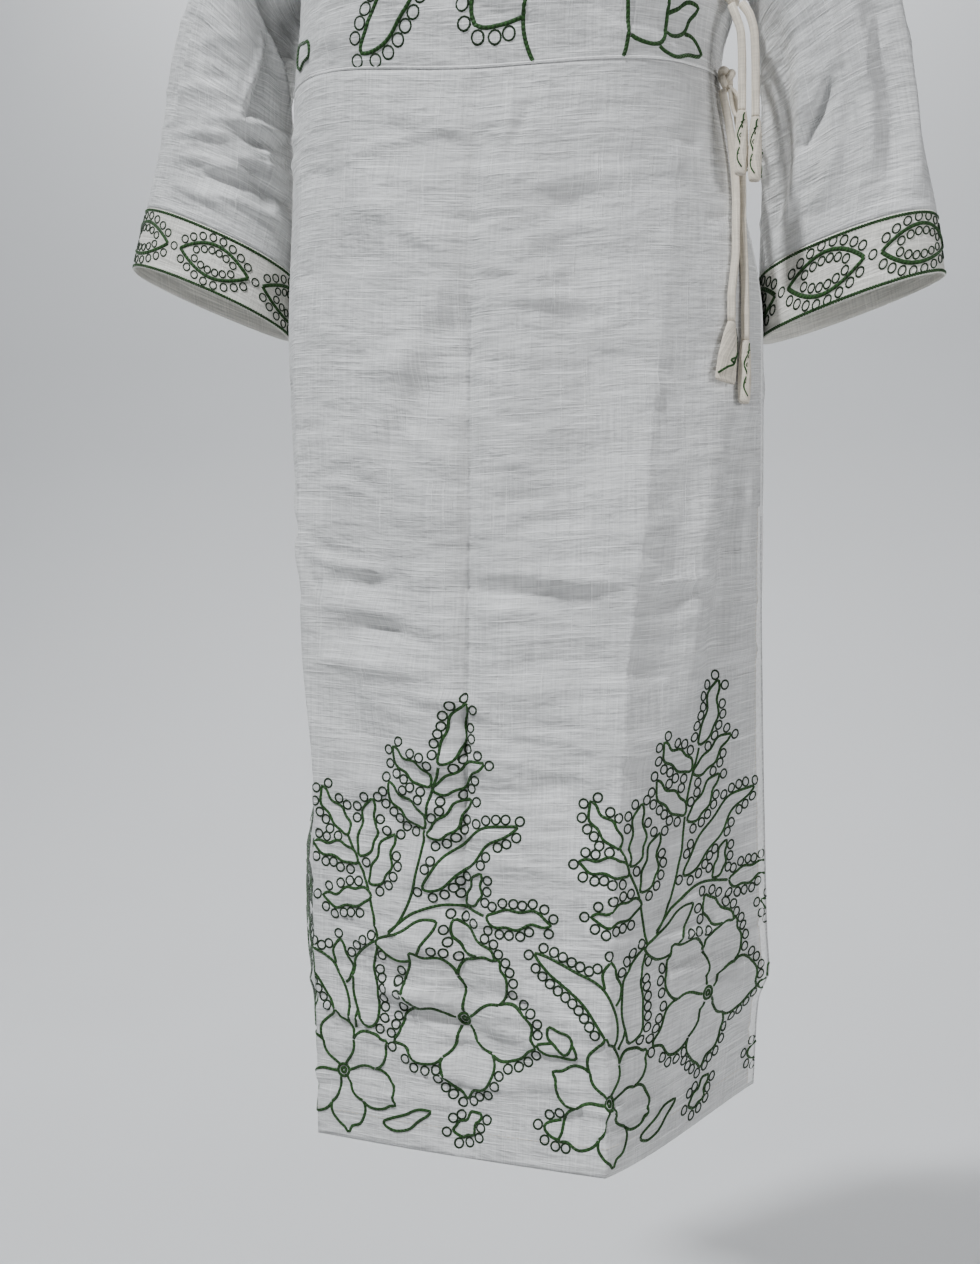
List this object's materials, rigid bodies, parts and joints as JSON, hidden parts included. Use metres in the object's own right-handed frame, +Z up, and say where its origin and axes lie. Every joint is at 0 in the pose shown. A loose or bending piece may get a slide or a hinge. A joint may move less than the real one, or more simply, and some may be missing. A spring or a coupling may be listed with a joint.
{
  "type": "kurta tunic",
  "caption": "Hollow cotton tunic with a waist seam, elbow sleeves with banded cuffs, side slits and side ties, in the form it has when worn.",
  "frame": {"origin": "halfway between the two points where the neck opening meets the shoulder line, where the wearer's shoulders hold the garment", "axes": "+Z up, the front faces -Y, +X towards the wearer's left side"},
  "size_m": [0.726, 0.3434, 1.1794],
  "materials": {
    "cloth": "slubby plain-weave cotton, off-white, matt with a slight sheen",
    "cuff_cloth": "plain-weave cotton band, warm cream, matt",
    "tie_cloth": "folded cotton string and tabs, cream, matt",
    "thread": "green embroidery thread with a soft lustre"
  },
  "bodies": {
    "root": {"front_bodice": "cloth", "back_bodice": "cloth", "front_skirt": "cloth", "back_skirt": "cloth", "right_sleeve": "cloth", "left_sleeve": "cloth", "right_cuff": "cuff_cloth", "left_cuff": "cuff_cloth", "waist_knot": "tie_cloth", "upper_knot": "tie_cloth", "waist_string_front": "tie_cloth", "waist_string_rear": "tie_cloth", "upper_string_front": "tie_cloth", "upper_string_rear": "tie_cloth", "waist_tab_front": "tie_cloth", "waist_tab_rear": "tie_cloth", "upper_tab_front": "tie_cloth", "upper_tab_rear": "tie_cloth"}
  },
  "joints": []
}
